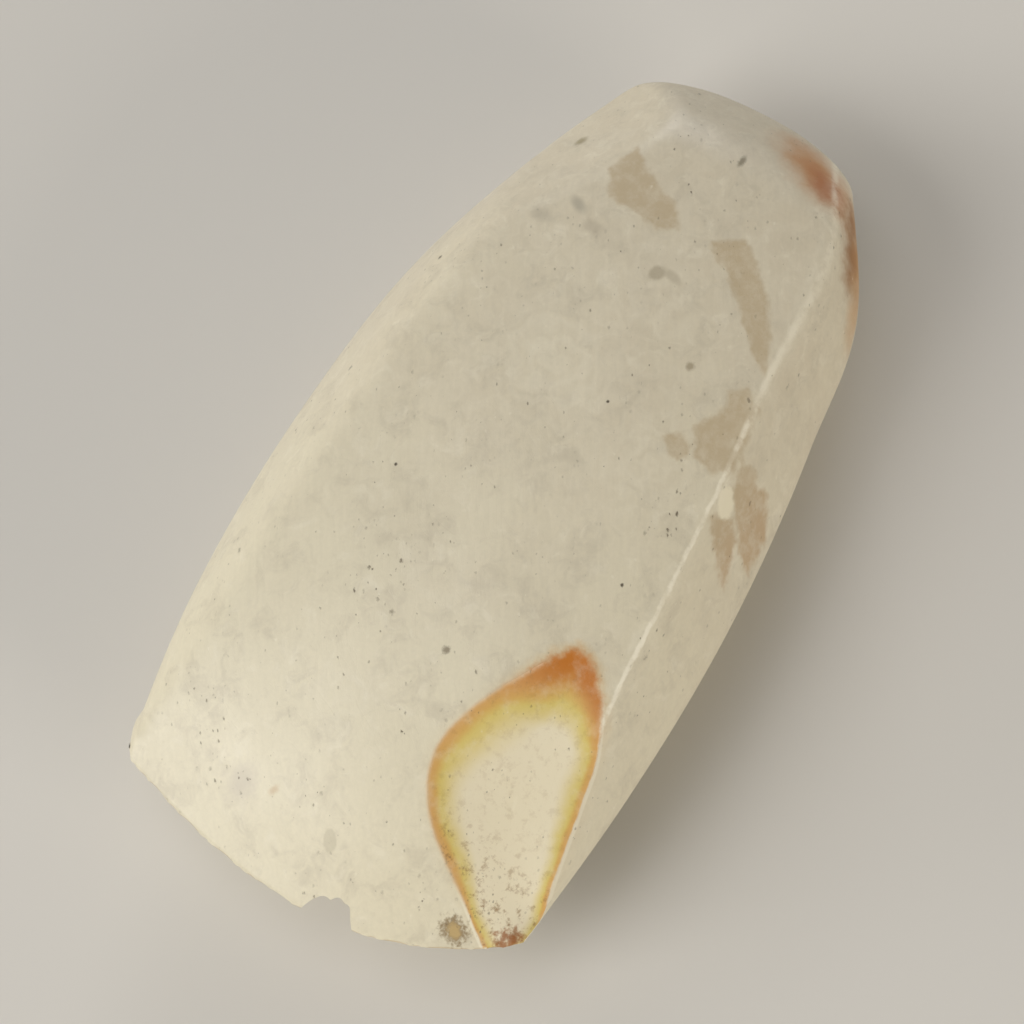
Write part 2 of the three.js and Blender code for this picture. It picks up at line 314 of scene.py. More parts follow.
    def grid_place(self, x: Array, y: Array) -> tuple[Array, Array]:
        """The grid shares (u, v) of points on the plan, found by closing in on them."""
        u, v = np.full_like(x, 0.5), np.zeros_like(x)
        for _ in range(self.settling_passes):
            _, _, half_width, butt_end, edge_end = self.plan_place(u, v)
            v = np.clip(y / half_width, -1, 1)
            u = np.clip((x - butt_end) / (edge_end - butt_end), 0, 1)
        return u, v

    def height_over(self, face: Face, x: Array, y: Array) -> Array:
        """The signed height of a face over points on the plan."""
        return face.value * self.face_height(face, *self.grid_place(x, y))

    def edge_line(self, count: int) -> Array:
        """Points along the cutting edge, from left to right."""
        v = np.linspace(*self.edge_line_span, count)
        x, y, *_ = self.plan_place(np.ones(count), v)
        return np.stack([x, y, np.zeros(count)], axis=1)


def stone_middle() -> Triple:
    """Where the stone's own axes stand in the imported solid's frame, in millimetres."""
    form = StoneForm()
    low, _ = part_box(NODE)
    return (
        float(low.x) / MM + form.length / 2 - form.butt_flat,
        SIDE_SHIFT,
        max(form.lower_half_depths) - form.rest_flat,
    )


# ---- What was struck off it ----


@dataclass(frozen=True)
class FlakeScar:
    """A shallow hollow that a flake left in one face."""

    name: str
    face: Face
    centre: Point
    outline: tuple[Point, ...]
    depth: float = 0.05
    curved: bool = False
    sunk: bool = True  # whether the floor is flat, or follows the face it lies in
    ragged: float = 0.14
    curve_steps: int = 12  # points between two corners of a curved outline
    step: float = 0.7  # between the points of a straight-sided one
    rings: int = 14
    nearest: float = 0.05  # how near its rim a place counts as on it
    pull: int = 3  # how fast the hold of the rim falls off inwards
    lip: float = 0.7
    flare: float = 1.04
    clear: float = 40

    def loop(self) -> Array:
        """The rim on the plan: a smooth loop, or straight sides with a ragged line."""
        corners = np.array(self.outline, float)
        if self.curved:
            return closed_curve(corners, self.curve_steps)
        points = straight_loop(corners, self.step)
        chance = np.random.default_rng(len(self.name) + len(points))
        wander = np.convolve(chance.normal(size=len(points) + 2), [0.3, 0.4, 0.3], "valid")
        away = points - np.array(self.centre)
        return points + self.ragged * wander[:, None] * away / np.linalg.norm(away, axis=1, keepdims=True)

    def smoothed(self, values: Array) -> Array:
        """Values round the rim with their sudden steps taken off."""
        weights = np.array([1, 2, 3, 2, 1]) / 9
        around = np.concatenate([values[-2:], values, values[:2]])
        return np.convolve(around, weights, "valid")

    def spread(self, places: Array, rim: Array, values: Array) -> Array:
        """Values on the rim carried smoothly over places inside it."""
        gaps = np.linalg.norm(places[:, None] - rim[None], axis=2) + self.nearest
        hold = gaps ** -float(self.pull)
        return (hold * values).sum(axis=1) / hold.sum(axis=1)

    def block(self, form: StoneForm) -> tuple[Array, list[tuple[int, ...]]]:
        """The shape the scar takes out: its dished floor, and walls clear of the stone.

        Args:
            form: The stone it is struck from.

        Returns:
            Its vertices and its faces.
        """
        sign, centre = self.face.value, np.array(self.centre)
        rim = self.loop()
        away = rim - centre
        heights = form.height_over(self.face, rim[:, 0], rim[:, 1])
        terms = np.column_stack([np.ones(len(rim)), away])
        plane = np.linalg.lstsq(terms, heights, rcond=None)[0]
        left_over = self.smoothed(heights - terms @ plane)
        lowest = plane[0] if self.sunk else form.height_over(self.face, centre[:1], centre[1:])[0]
        rows = [np.array([[*centre, lowest - sign * self.depth]])]
        for share in (np.arange(self.rings) + 1) / self.rings:
            here = centre + share * away
            z = form.height_over(self.face, here[:, 0], here[:, 1])
            if self.sunk:
                rest = left_over if share == 1 else self.spread(here, rim, left_over)
                z = plane[0] + share * away @ plane[1:] + rest
            rows.append(np.column_stack([here, z - sign * self.depth * (1 - share**2)]))
        wide = centre + self.flare * away
        rows.append(np.column_stack([wide, heights + sign * self.lip]))
        rows.append(np.column_stack([wide, np.full(len(rim), sign * self.clear)]))
        rows.append(np.array([[*centre, sign * self.clear]]))
        return np.concatenate(rows), fan_faces(len(rim), self.rings + 2)


def fan_faces(count: int, rings: int) -> list[tuple[int, ...]]:
    """The faces of a closed shape made of rings of points between two poles.

    Args:
        count: Points in each ring.
        rings: How many rings lie between the poles.

    Returns:
        Triangles at the poles and quads between the rings.
    """
    last = 1 + rings * count
    faces: list[tuple[int, ...]] = []
    for i in range(count):
        j = (i + 1) % count
        faces.append((0, 1 + j, 1 + i))
        for ring in range(rings - 1):
            a, b = 1 + ring * count, 1 + (ring + 1) * count
            faces.append((a + i, a + j, b + j, b + i))
        faces.append((last - count + i, last - count + j, last))
    return faces


@dataclass(frozen=True)
class Bite:
    """A piece broken right through the outline, as an uneven ellipsoid."""

    name: str
    at: Triple
    radii: Triple
    rough: float = 0.04
    sides: int = 48
    rings: int = 30

    def block(self) -> tuple[Array, list[tuple[int, ...]]]:
        """The lump that the bite takes out."""
        turns = np.linspace(0, 2 * np.pi, self.sides, endpoint=False)
        rows = [np.array([[0.0, 0.0, -1.0]])]
        for tilt in np.linspace(-np.pi / 2, np.pi / 2, self.rings + 2)[1:-1]:
            level = np.full(self.sides, math.sin(tilt))
            ring = np.column_stack([np.cos(turns) * math.cos(tilt), np.sin(turns) * math.cos(tilt), level])
            swell = 1 + self.rough * np.sin(3 * turns + 5 * tilt) * np.cos(4 * tilt + 2 * turns)
            rows.append(ring * swell[:, None])
        rows.append(np.array([[0.0, 0.0, 1.0]]))
        points = np.concatenate(rows) * np.array(self.radii) + np.array(self.at)
        return points, fan_faces(self.sides, self.rings)


WINDOW = FlakeScar(
    "window", Face.UPPER, (40, 20),
    ((19.5, 18.5), (26.5, 13.6), (33, 10.2), (38.5, 8.7), (43.5, 9.8), (48, 13.2),
     (53, 20), (57.5, 27), (53, 30), (46, 29), (36, 27.8), (29, 26.6), (22.5, 23.4)),
    depth=0.5, curved=True, rings=24,
)  # fmt: skip
PATCHES = (
    FlakeScar(
        "butt_patch", Face.UPPER, (-40.3, -5), sunk=False, outline=(
            (-46.4, -9.4), (-43.5, -6), (-42.2, -3), (-40.5, 0), (-37.8, 1.7), (-36.5, -0.9),
            (-37.1, -4.2), (-37.7, -8.9), (-41.8, -11),
        ),
    ),
    FlakeScar(
        "long_patch", Face.UPPER, (-34.6, 13), sunk=False, outline=(
            (-38.5, 6.2), (-40.9, 10.2), (-38.1, 13.7), (-34.3, 17.2), (-29.3, 20.3), (-25.2, 21.7),
            (-26.1, 19.5), (-30.7, 14.9), (-35.6, 10.2), (-36.3, 8),
        ),
    ),
    FlakeScar(
        "middle_patch", Face.UPPER, (-14.8, 21), sunk=False, outline=(
            (-20.7, 18.3), (-22.6, 20.7), (-21.1, 22.9), (-15.5, 23.8), (-11.5, 24.1), (-9.7, 22),
            (-10.5, 19.2), (-14.4, 16.9), (-17.7, 19.5),
        ),
    ),
    FlakeScar(
        "round_patch", Face.UPPER, (-10.6, 16.4), sunk=False, outline=(
            (-10.9, 14.2), (-11.9, 15), (-12.5, 16.6), (-11.6, 17.7), (-9.8, 18.1), (-9, 17.4), (-9.2, 16.1),
        ),
    ),
    FlakeScar(
        "side_patch", Face.UPPER, (-9.6, 27.6), sunk=False, outline=(
            (-12.3, 24.4), (-13.9, 24.7), (-14.6, 25.8), (-12.9, 27.1), (-13.9, 27.7), (-12.3, 28.8),
            (-8.7, 30.6), (-3.3, 30.8), (-4.7, 28.8), (-7.8, 26.4), (-10.2, 24.8),
        ),
    ),
    FlakeScar(
        "corner_patch", Face.UPPER, (-3.6, 27.1), sunk=False, outline=(
            (-5, 24.4), (-7.4, 26.5), (-5.9, 27.6), (-3.3, 28.5), (0.7, 29.5), (0.7, 28.8), (-2.3, 26.4),
        ),
    ),
    FlakeScar(
        "under_patch", Face.LOWER, (32, -22.4), outline=(
            (24, -20), (29, -17.6), (34, -17), (37, -18), (40, -21), (39, -25), (36, -27), (28, -27),
        ), depth=0.5,
    ),
    FlakeScar(
        "under_small_patch", Face.LOWER, (-34, 14), sunk=False,
        outline=((-39, 11), (-34, 10), (-29, 13), (-30, 17), (-36, 18)),
    ),
)  # fmt: skip
BITES = (
    Bite("notch", (64.6, 5.9, -4), (10.1, 3.5, 7)),
    Bite("notch_shoulder", (65, 4.4, -4), (8.2, 3.8, 7)),
    Bite("thin_chip", (65.6, -4.5, -5), (3.7, 10, 7.5)),
    Bite("lost_corner", (65.4, 39.4, -7), (18, 18, 16), rough=0.01),
    Bite("butt_step", (-44.3, -25.4, 2), (3.6, 3, 9)),
)


# ---- Mesh work ----


def mesh_object(name: str, vertices: Array, faces: Sequence[Sequence[int]], cut: Cut) -> bpy.types.Object:
    """Makes an object of a closed mesh, with its faces turned outwards.

    Args:
        name: The object's name.
        vertices: Its points, in millimetres.
        faces: Its faces, as indices of points.
        cut: What its surface leaves behind where it cuts.

    Returns:
        The new object, linked to the scene.
    """
    data = bpy.data.meshes.new(name)
    data.from_pydata(vertices.tolist(), [], [list(face) for face in faces])
    corners = np.array([face[:3] for face in faces])
    a, b, c = (vertices[corners[:, k]] for k in range(3))
    if np.einsum("ij,ij->i", a, np.cross(b, c)).sum() < 0:
        data.flip_normals()
    return linked(name, mark_cut(data, cut))


def linked(name: str, data: bpy.types.ID) -> bpy.types.Object:
    """A new object of some data, in the scene."""
    made = bpy.data.objects.new(name, data)
    bpy.context.scene.collection.objects.link(made)
    return made


def cut_material(kind: Cut) -> bpy.types.Material:
    """The plain material that marks a kind of surface while the stone is cut."""
    return bpy.data.materials.get(kind.name) or bpy.data.materials.new(kind.name)


def mark_cut(data: bpy.types.Mesh, cut: Cut) -> bpy.types.Mesh:
    """Gives every face of a mesh the mark of one kind of surface."""
    data.materials.clear()
    for kind in Cut:
        data.materials.append(cut_material(kind))
    data.polygons.foreach_set("material_index", np.full(len(data.polygons), cut.value, np.int32))
    return data


def whole_numbers(items: bpy.types.bpy_prop_collection, name: str) -> Array:
    """A whole number that every item of a mesh has."""
    found = np.empty(len(items), np.int32)
    items.foreach_get(name, found)
    return found


def triples(items: bpy.types.bpy_prop_collection, name: str) -> Array:
    """A vector that every item of a mesh has, as rows."""
    found = np.empty(len(items) * 3, np.float32)
    items.foreach_get(name, found)
    return found.reshape(-1, 3)


def bake(item: bpy.types.Object) -> None:
    """Turns what an object's modifiers make into its own plain mesh."""
    graph = bpy.context.evaluated_depsgraph_get()
    made = bpy.data.meshes.new_from_object(item.evaluated_get(graph), depsgraph=graph)
    item.modifiers.clear()
    item.data = made


def take_out(stone: bpy.types.Object, cutter: bpy.types.Object) -> None:
    """Cuts one object out of another, and removes the cutter."""
    modifier = stone.modifiers.new("take_out", "BOOLEAN")
    modifier.operation, modifier.solver, modifier.material_mode = "DIFFERENCE", "MANIFOLD", "INDEX"
    modifier.object = cutter
    bake(stone)
    bpy.data.objects.remove(cutter)


class Value:
    """A number that nodes work out, and that takes plain arithmetic."""

    def __init__(self, hand: Shading, socket: Socket) -> None:
        """Holds the hand that adds nodes, and the socket that gives the number."""
        self.hand, self.socket = hand, socket

    def __add__(self, other: object) -> Value:
        """The sum of the two."""
        return self.hand.math("ADD", self, other)

    def __sub__(self, other: object) -> Value:
        """This less the other."""
        return self.hand.math("SUBTRACT", self, other)

    def __rsub__(self, other: object) -> Value:
        """The other less this."""
        return self.hand.math("SUBTRACT", other, self)

    def __mul__(self, other: object) -> Value:
        """The product of the two."""
        return self.hand.math("MULTIPLY", self, other)

    def __truediv__(self, other: object) -> Value:
        """This over the other."""
        return self.hand.math("DIVIDE", self, other)

    def __rtruediv__(self, other: object) -> Value:
        """The other over this."""
        return self.hand.math("DIVIDE", other, self)

    def __abs__(self) -> Value:
        """Its size without its sign."""
        return self.hand.math("ABSOLUTE", self)


class NodeTree:
    """A hand for wiring a node tree."""

    def __init__(self, tree: bpy.types.NodeTree) -> None:
        """Takes the tree to work on."""
        self.tree = tree

    def add(self, kind: str, feeds: dict | None = None, **settings: object) -> bpy.types.Node:
        """Adds a node.

        Args:
            kind: The node's type.
            feeds: What goes into its inputs, by name or number: a value or a socket.
            settings: Its own settings.

        Returns:
            The node.
        """
        node = self.tree.nodes.new(kind)
        for name, value in settings.items():
            setattr(node, name, value)
        for key, value in (feeds or {}).items():
            self.feed(node.inputs[key], value)
        return node

    def feed(self, target: Socket, value: object) -> None:
        """Links a socket to an input, or sets the input's own value."""
        given = value.socket if isinstance(value, Value) else value
        if isinstance(given, bpy.types.NodeSocket):
            self.tree.links.new(given, target)
        else:
            target.default_value = given


@dataclass(frozen=True)
class EdgeChips:
    """Small chips along the cutting edge, laid out by a Geometry Nodes tree.

    A chip's three half sizes are its depth, its height and its length along the edge.
    """

    count: int
    smallest: Triple
    largest: Triple
    wander: Triple
    seed: int

    def tree(self) -> bpy.types.NodeTree:
        """Builds the tree that strews chips of random size along a line.

        Returns:
            The tree, which ends in real meshes that carry their finish.
        """
        tree = bpy.data.node_groups.new("chips_along_edge", "GeometryNodeTree")
        inputs = {
            "Line": "Geometry", "Count": "Int", "Smallest": "Vector", "Largest": "Vector",
            "Wander": "Vector", "Seed": "Int", "Finish": "Material",
        }  # fmt: skip
        for name, kind in inputs.items():
            tree.interface.new_socket(name, in_out="INPUT", socket_type="NodeSocket" + kind)
        tree.interface.new_socket("Chips", in_out="OUTPUT", socket_type="NodeSocketGeometry")
        hand = NodeTree(tree)
        given = hand.add("NodeGroupInput").outputs
        feeds = {0: given["Line"], "Count": given["Count"]}
        points = hand.add("GeometryNodeCurveToPoints", feeds, mode="COUNT")
        back = hand.add("ShaderNodeVectorMath", {0: given["Wander"], 1: (-1, -1, -1)}, operation="MULTIPLY")
        ranges = ((back.outputs[0], given["Wander"]), (given["Smallest"], given["Largest"]))
        stray, size = (
            hand.add(
                "FunctionNodeRandomValue", {0: low, 1: high, "Seed": given["Seed"]}, data_type="FLOAT_VECTOR"
            )
            for low, high in ranges
        )
        feeds = {"Geometry": points.outputs["Points"], "Offset": stray.outputs[0]}
        moved = hand.add("GeometryNodeSetPosition", feeds)
        ball = hand.add("GeometryNodeMeshIcoSphere", {"Radius": 1.0, "Subdivisions": 3})
        feeds = {
            "Points": moved.outputs[0], "Instance": ball.outputs["Mesh"],
            "Rotation": points.outputs["Rotation"], "Scale": size.outputs[0],
        }  # fmt: skip
        strewn = hand.add("GeometryNodeInstanceOnPoints", feeds)
        real = hand.add("GeometryNodeRealizeInstances", {0: strewn.outputs[0]})
        feeds = {"Geometry": real.outputs[0], "Material": given["Finish"]}
        dressed = hand.add("GeometryNodeSetMaterial", feeds)
        hand.add("NodeGroupOutput", {"Chips": dressed.outputs[0]})
        return tree

    def cutter(self, line: Array) -> bpy.types.Object:
        """Makes the lumps that the chips take out.

        Args:
            line: Points along the cutting edge.

        Returns:
            One object that holds them all.
        """
        curve = bpy.data.curves.new("edge_line", "CURVE")
        curve.dimensions = "3D"
        spline = curve.splines.new("POLY")
        spline.points.add(len(line) - 1)
        spline.points.foreach_set("co", np.column_stack([line, np.ones(len(line))]).ravel())
        run = linked("edge_line", curve)
        tree = self.tree()
        modifier = run.modifiers.new("chips", "NODES")
        modifier.node_group = tree
        values = {
            "Count": self.count, "Smallest": self.smallest, "Largest": self.largest,
            "Wander": self.wander, "Seed": self.seed, "Finish": cut_material(Cut.CHIP),
        }  # fmt: skip
        for item in tree.interface.items_tree:
            if item.in_out == "INPUT" and item.name in values:
                modifier[item.identifier] = values[item.name]
        graph = bpy.context.evaluated_depsgraph_get()
        data = bpy.data.meshes.new_from_object(run.evaluated_get(graph), depsgraph=graph)
        bpy.data.objects.remove(run)
        return linked("edge_chips", mark_cut(data, Cut.CHIP))


SMALL_CHIPS = EdgeChips(30, (0.06, 0.3, 0.3), (0.22, 0.5, 0.9), (0.03, 0.03, 0.1), seed=4)
WIDE_CHIPS = EdgeChips(10, (0.12, 0.5, 1.0), (0.34, 0.9, 2.6), (0.05, 0.05, 0.2), seed=11)


@dataclass
class AxeHead:
    """The whole stone: one closed mesh with its scars, chips and marked borders."""

    form: StoneForm = field(default_factory=StoneForm)
    rows: int = 340
    columns: int = 124
    row_crowding: float = 0.45
    column_crowding: float = 0.5
    edge_line_points: int = 240
    border_reach: float = 20.0  # a border is only marked this far from itself
    crease_angle: float = 32  # degrees; a sharper turn than this is a real edge
    rim_angle: float = 11  # the same for the rim of a scar or chip

    def build(self) -> bpy.types.Object:
        """Makes the stone's mesh in place.

        Returns:
            The stone, at the origin, in metres.
        """
        stone = self.skin()
        for kind, cutter in self.cutters():
            LOG.info("cutting %s", kind)
            take_out(stone, cutter)
        self.mark_borders(stone)
        self.mark_creases(stone)
        self.put_in_place(stone)
        return stone

    def skin(self) -> bpy.types.Object:
        """The closed skin: an upper and a lower sheet that share their rim."""
        s, t = np.linspace(0, 1, self.rows + 1), np.linspace(0, 1, self.columns + 1)
        u = s - self.row_crowding / (2 * np.pi) * np.sin(2 * np.pi * s)
        v = 2 * (t - self.column_crowding / (2 * np.pi) * np.sin(2 * np.pi * t)) - 1
        u, v = (grid.copy() for grid in np.meshgrid(u, v, indexing="ij"))
        rim = np.zeros_like(u, bool)
        rim[[0, -1], :] = rim[:, [0, -1]] = True
        x, y, *_ = self.form.plan_place(u, v)
        upper = np.where(rim, 0, self.form.face_height(Face.UPPER, u, v))
        lower = np.where(rim, 0, -self.form.face_height(Face.LOWER, u, v))
        above = np.stack([x, y, upper], axis=-1).reshape(-1, 3)
        below = np.stack([x, y, lower], axis=-1)[~rim]
        top = np.arange(u.size).reshape(u.shape)
        bottom = top.copy()
        bottom[~rim] = u.size + np.arange(len(below))
        faces = []
        for sheet, way in ((top, 1), (bottom, -1)):
            quads = np.stack([sheet[:-1, :-1], sheet[1:, :-1], sheet[1:, 1:], sheet[:-1, 1:]], axis=-1)
            faces.append(quads.reshape(-1, 4)[:, ::way])
        points = np.concatenate([above, below])
        return mesh_object(NODE + "_stone", points, np.concatenate(faces), Cut.GROUND)

    def cutters(self) -> list[tuple[str, bpy.types.Object]]:
        """Everything that is taken off the skin, in order."""
        line = self.form.edge_line(self.edge_line_points)
        found: list[tuple[str, bpy.types.Object]] = []
        for scar in (WINDOW, *PATCHES):
            found.append((scar.name, mesh_object(scar.name, *scar.block(self.form), Cut.SCAR)))
        for bite in BITES:
            found.append((bite.name, mesh_object(bite.name, *bite.block(), Cut.CHIP)))
        found.append(("wide_chips", WIDE_CHIPS.cutter(line)))
        found.append(("small_chips", SMALL_CHIPS.cutter(line)))
        belly = self.form.rest_flat - max(self.form.lower_half_depths)
        butt_end = self.form.butt_flat - self.form.length / 2
        found.append(("belly", self.grinding_block(2, belly)))
        found.append(("butt_end", self.grinding_block(0, butt_end)))
        return found

    def grinding_block(self, axis: int, level: float) -> bpy.types.Object:
        """The block that grinds a flat: all that lies below a level along one axis."""
        size = self.form.length
        corners = np.array([[x, y, z] for x in (-1, 1) for y in (-1, 1) for z in (-1, 1)], float) * size
        corners[:, axis] += level - size
        faces = ((0, 1, 3, 2), (4, 6, 7, 5), (0, 4, 5, 1), (2, 3, 7, 6), (0, 2, 6, 4), (1, 5, 7, 3))
        return mesh_object("grinding_block", corners, faces, Cut.GROUND)

    def mark_borders(self, stone: bpy.types.Object) -> None:
        """Writes how far each vertex lies from the stone's borders, in millimetres."""
        data = stone.data
        x, y, z = triples(data.vertices, "co").astype(float).T
        plan, upper = np.column_stack([x, y]), z > 0
        far = -self.border_reach
        patches = np.full(len(x), far)
        for scar in PATCHES:
            here = upper if scar.face is Face.UPPER else ~upper
            patches = np.maximum(patches, np.where(here, depth_inside(plan, scar.loop()), far))
        u, v = self.form.grid_place(x, y)
        lean = math.sin(math.radians(self.form.side_lean))
        side_lift = np.zeros_like(x)
        for face, here in ((Face.UPPER, upper), (Face.LOWER, ~upper)):
            broad, side, _ = self.form.facets(face, u, v)
            side_lift = np.where(here, (side - broad) * lean, side_lift)
        edge_end = self.form.plan_place(u, v)[4]
        marks = {
            "window_depth": np.where(upper, depth_inside(plan, WINDOW.loop()), far),
            "patch_depth": patches,
            "arris_right": np.where(v > 0, side_lift, self.border_reach),
            "from_edge": edge_end - x,
        }
        for name, values in marks.items():
            mark = data.attributes.new(name, "FLOAT", "POINT")
            mark.data.foreach_set("value", np.maximum(values, far).astype(np.float32))
        chips = whole_numbers(data.polygons, "material_index") == Cut.CHIP.value
        data.attributes.new("chip", "FLOAT", "FACE").data.foreach_set("value", chips.astype(np.float32))

    def mark_creases(self, stone: bpy.types.Object) -> None:
        """Keeps real edges crisp, those of scars and chips above all, and rounds the rest."""
        data = stone.data
        count = len(data.polygons)
        kinds = whole_numbers(data.polygons, "material_index")
        normals = triples(data.polygons, "normal")
        owners = np.repeat(np.arange(count), whole_numbers(data.polygons, "loop_total"))
        order = np.argsort(whole_numbers(data.loops, "edge_index"), kind="stable")
        pairs = owners[order].reshape(-1, 2)
        turn = np.einsum("ij,ij->i", normals[pairs[:, 0]], normals[pairs[:, 1]])
        differ = kinds[pairs[:, 0]] != kinds[pairs[:, 1]]
        limit = np.where(differ, self.rim_angle, self.crease_angle)
        sharp = turn < np.cos(np.radians(limit))
        mark = data.attributes.get("sharp_edge") or data.attributes.new("sharp_edge", "BOOLEAN", "EDGE")
        mark.data.foreach_set("value", sharp)
        data.polygons.foreach_set("use_smooth", np.ones(count, bool))
        data.polygons.foreach_set("material_index", np.zeros(count, np.int32))

    def put_in_place(self, stone: bpy.types.Object) -> None:
        """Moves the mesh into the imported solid's place, in metres, and keeps it in its box."""
        low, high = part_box(NODE)
        data = stone.data
        points = triples(data.vertices, "co").astype(float) + stone_middle()
        box_low, box_high = np.array(low) / MM, np.array(high) / MM
        own_low, own_high = points.min(axis=0), points.max(axis=0)
        grow = np.minimum(1, (box_high - box_low) / (own_high - own_low))
        points = box_low + (points - own_low) * grow + np.clip(own_low - box_low, 0, None) * (grow == 1)
        data.vertices.foreach_set("co", (points * MM).astype(np.float32).ravel())
        data.update()


# ---- Finishes ----


def srgb(red: int, green: int, blue: int) -> Colour:
    """A colour given in everyday steps of 255, as linear light."""
    shares = [c / 255 for c in (red, green, blue)]
    linear = [c / 12.92 if c <= 0.04045 else ((c + 0.055) / 1.055) ** 2.4 for c in shares]
    return (*linear, 1.0)


class Shading(NodeTree):
    """A hand for shader nodes. Its numbers are Values, its colours and vectors sockets."""

    def value(self, socket: Socket) -> Value:
        """A socket as a number that takes arithmetic."""
        return Value(self, socket)

    def math(self, operation: str, *values: object, clamp: bool = False) -> Value:
        """One step of arithmetic."""
        feeds = dict(enumerate(values))
        return self.value(self.add("ShaderNodeMath", feeds, operation=operation, use_clamp=clamp).outputs[0])

    def vector(self, operation: str, *values: object) -> Socket:
        """One step of arithmetic on vectors."""
        feeds = dict(zip((0, "Scale" if operation == "SCALE" else 1), values))
        return self.add("ShaderNodeVectorMath", feeds, operation=operation).outputs[0]

    def length(self, vector: Socket) -> Value:
        """The length of a vector."""
        return self.value(self.add("ShaderNodeVectorMath", {0: vector}, operation="LENGTH").outputs["Value"])

    def parts(self, vector: Socket) -> list[Value]:
        """The three parts of a vector."""
        return [self.value(part) for part in self.add("ShaderNodeSeparateXYZ", {0: vector}).outputs]

    def placed(self, vector: Socket, scale: Triple = (1, 1, 1), turn: float = 0) -> Socket:
        """A vector turned about Z, in radians, then scaled."""
        turned = self.add("ShaderNodeMapping", {"Vector": vector, "Rotation": (0, 0, turn)}).outputs[0]
        return self.vector("MULTIPLY", turned, scale)

    def noise(self, vector: object, size: Value | float, detail: float = 2, rough: float = 0.5) -> Value:
        """Soft noise whose lumps are about a size across."""
        feeds = {"Vector": vector, "Scale": 1 / size, "Detail": detail, "Roughness": rough}
        return self.value(self.add("ShaderNodeTexNoise", feeds).outputs["Fac"])

    def noise_vector(self, vector: Socket, size: float) -> Socket:
        """Soft noise in three directions, each about zero on average."""
        feeds = {"Vector": vector, "Scale": 1 / size, "Detail": 1.0}
        made = self.add("ShaderNodeTexNoise", feeds).outputs["Color"]
        return self.vector("SUBTRACT", made, (0.5, 0.5, 0.5))

    def ease(self, value: Value, low: object, high: object) -> Value:
        """Rises smoothly from 0 to 1 as a value goes from low to high."""
        feeds = {"Value": value, "From Min": low, "From Max": high}
        made = self.add("ShaderNodeMapRange", feeds, interpolation_type="SMOOTHSTEP")
        return self.value(made.outputs["Result"])

    def mix(self, share: object, under: object, over: object, blend: str = "MIX") -> Socket:
        """One colour laid over another."""
        feeds = {0: share, 6: under, 7: over}
        return self.add("ShaderNodeMix", feeds, data_type="RGBA", blend_type=blend).outputs[2]

    def mark(self, name: str) -> Value:
        """A border distance or a mark that the mesh carries."""
        return self.value(self.add("ShaderNodeAttribute", attribute_name=name).outputs["Fac"])

    def use(self, group: bpy.types.NodeTree, **feeds: object) -> Value:
        """Places a node group and gives its mask."""
        return self.value(self.add("ShaderNodeGroup", feeds, node_tree=group).outputs[0])

    def surface(self, colour: object, rough: object, height: object, strength: float, reach: float) -> None:
        """Ends a material in one shader with relief.

        Args:
            colour: Its colour.
            rough: Its roughness.
            height: The height of its relief, in steps of reach.
            strength: How strongly the relief shows.
            reach: How far one step of height stands out, in metres.
        """
        bump = self.add("ShaderNodeBump", {"Strength": strength, "Distance": reach, "Height": height})
        feeds = {"Base Color": colour, "Roughness": rough, "Normal": bump.outputs[0], "IOR": 1.5}
        shader = self.add("ShaderNodeBsdfPrincipled", feeds)
        self.add("ShaderNodeOutputMaterial", {"Surface": shader.outputs[0]})


def new_material(name: str) -> tuple[bpy.types.Material, Shading, Socket]:
    """Starts a material: gives it, a hand for its nodes, and the place in millimetres."""
    made = bpy.data.materials.new(name)
    made.use_nodes = True
    made.node_tree.nodes.clear()
    hand = Shading(made.node_tree)
    here = hand.add("ShaderNodeTexCoord").outputs["Object"]
    return made, hand, hand.vector("MULTIPLY", here, (1 / MM,) * 3)


def new_group(
    name: str, numbers: dict[str, float], **vectors: Triple
) -> tuple[Shading, Callable[[str], Value]]:
    """Starts a shader node group that puts out one mask.

    Args:
        name: The group's name.
        numbers: Its number inputs and their usual values.
        vectors: Its vector inputs and their usual values, besides Place.

    Returns:
        A hand for its nodes, and a function that gives an input by name.
    """
    tree = bpy.data.node_groups.new(name, "ShaderNodeTree")
    for label, value in {"Place": (0, 0, 0), **vectors, **numbers}.items():
        kind = "NodeSocketVector" if isinstance(value, tuple) else "NodeSocketFloat"
        tree.interface.new_socket(label, in_out="INPUT", socket_type=kind).default_value = value
    tree.interface.new_socket("Mask", in_out="OUTPUT", socket_type="NodeSocketFloat")
    hand = Shading(tree)
    given = hand.add("NodeGroupInput").outputs
    return hand, lambda label: hand.value(given[label])


